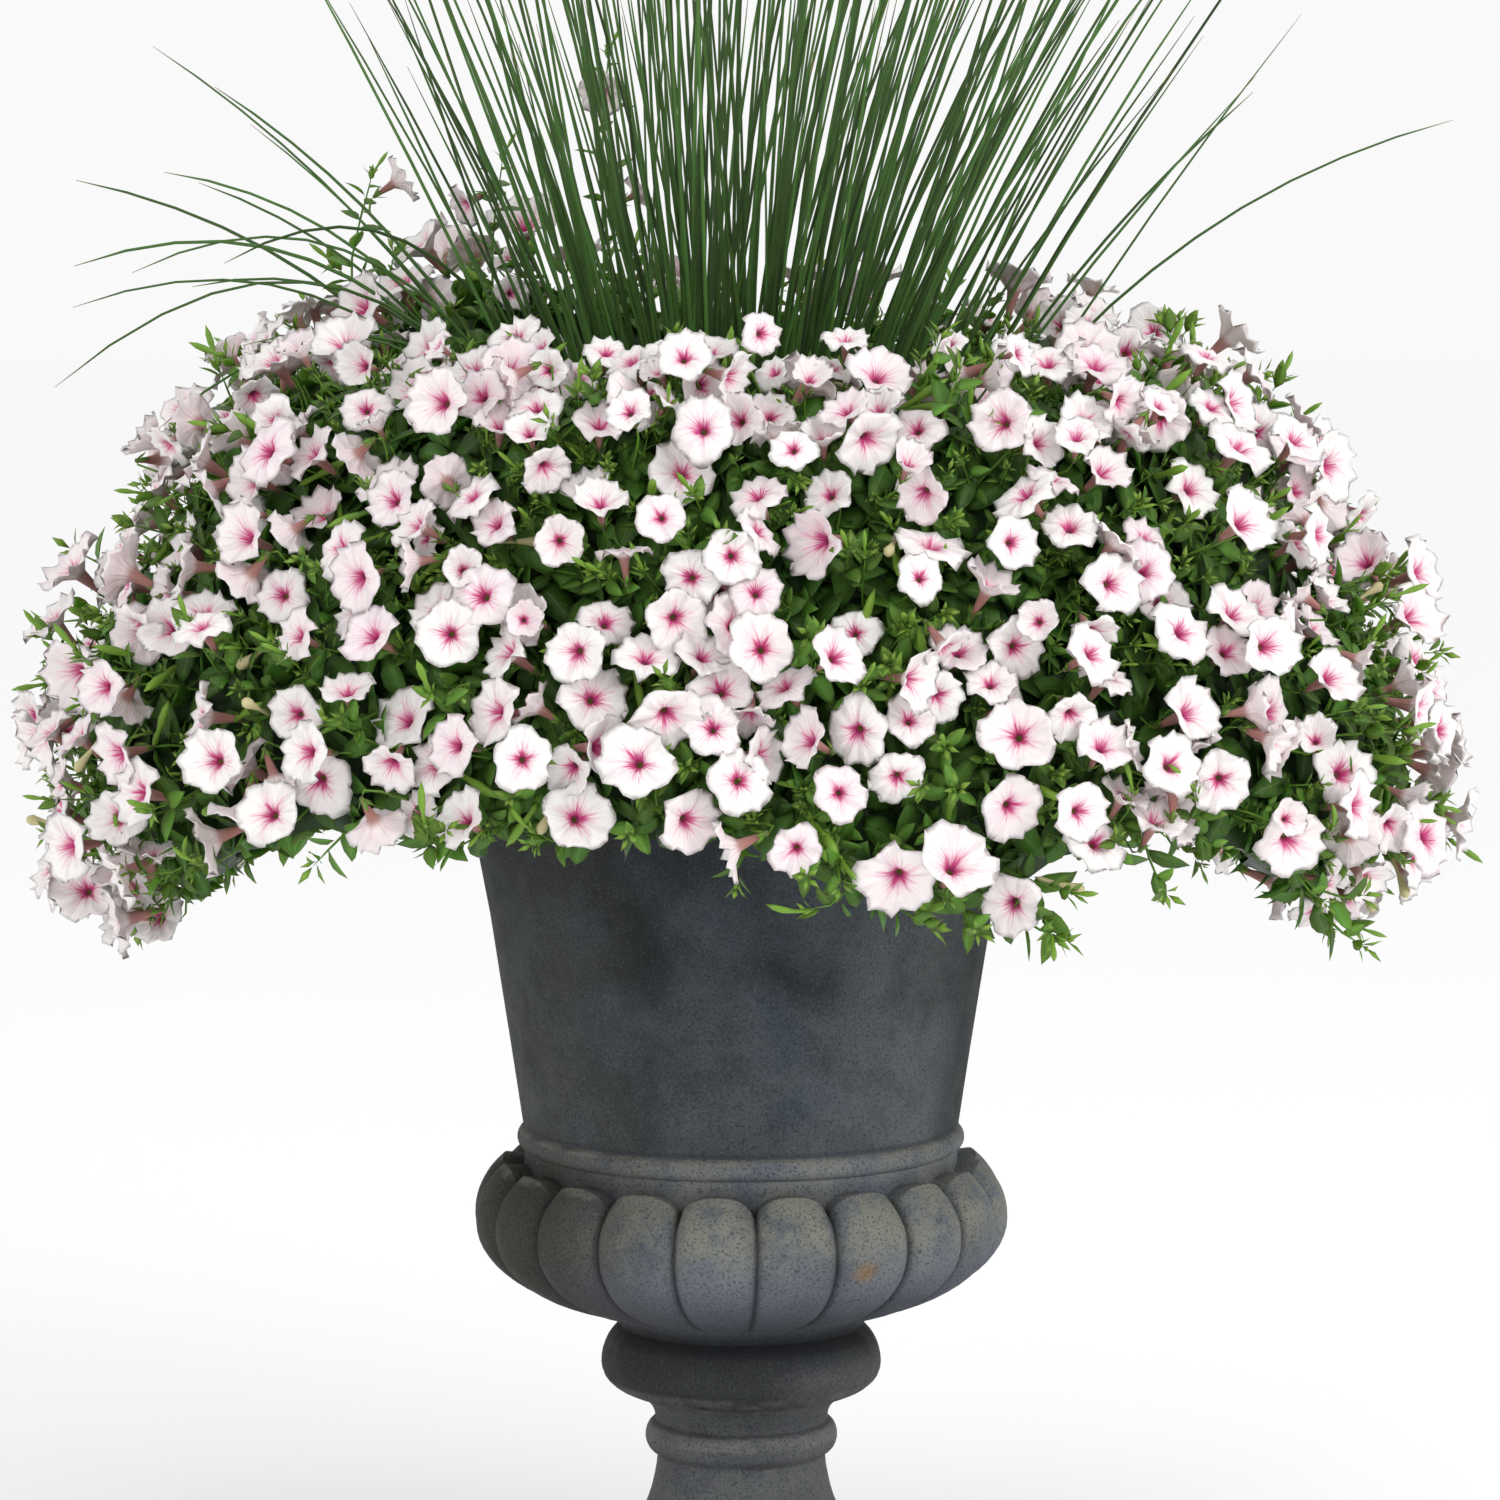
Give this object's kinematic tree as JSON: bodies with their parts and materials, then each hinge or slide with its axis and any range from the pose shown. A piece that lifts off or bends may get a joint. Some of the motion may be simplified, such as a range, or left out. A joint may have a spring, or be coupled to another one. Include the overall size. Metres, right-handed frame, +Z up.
{
  "type": "potted soft rush",
  "caption": "Soft rush and trailing petunias growing together in a gadrooned garden urn on a square plinth.",
  "frame": {"origin": "middle of the underside of the plinth, on the ground", "axes": "+Z up along the urn's axis, -Y towards the front that the picture shows, +X to its right"},
  "size_m": [1.2335, 1.0254, 1.6082],
  "materials": {
    "cast_stone": "matte",
    "soil": "matte",
    "rush": "satin",
    "petunia": "matte"
  },
  "bodies": {
    "root": {"urn": "cast_stone", "potting_soil": "soil", "rush_tuft_1": "rush", "rush_tuft_2": "rush", "rush_tuft_3": "rush", "rush_tuft_4": "rush", "rush_tuft_5": "rush", "rush_tuft_6": "rush", "petunia_spray_01": "petunia", "petunia_spray_02": "petunia", "petunia_spray_03": "petunia", "petunia_spray_04": "petunia", "petunia_spray_05": "petunia", "petunia_spray_06": "petunia", "petunia_spray_07": "petunia", "petunia_spray_08": "petunia", "petunia_spray_09": "petunia", "petunia_spray_10": "petunia", "petunia_spray_11": "petunia", "petunia_spray_12": "petunia", "petunia_spray_13": "petunia", "petunia_spray_14": "petunia", "petunia_spray_15": "petunia", "petunia_spray_16": "petunia", "petunia_spray_17": "petunia", "petunia_spray_18": "petunia", "petunia_spray_19": "petunia", "petunia_spray_20": "petunia", "petunia_spray_21": "petunia", "petunia_spray_22": "petunia", "petunia_spray_23": "petunia", "petunia_spray_24": "petunia", "petunia_spray_25": "petunia", "petunia_spray_26": "petunia", "petunia_spray_27": "petunia", "petunia_spray_28": "petunia", "petunia_spray_29": "petunia", "petunia_spray_30": "petunia", "petunia_spray_31": "petunia", "petunia_spray_32": "petunia", "petunia_spray_33": "petunia", "petunia_spray_34": "petunia", "petunia_spray_35": "petunia", "petunia_spray_36": "petunia"}
  },
  "joints": []
}
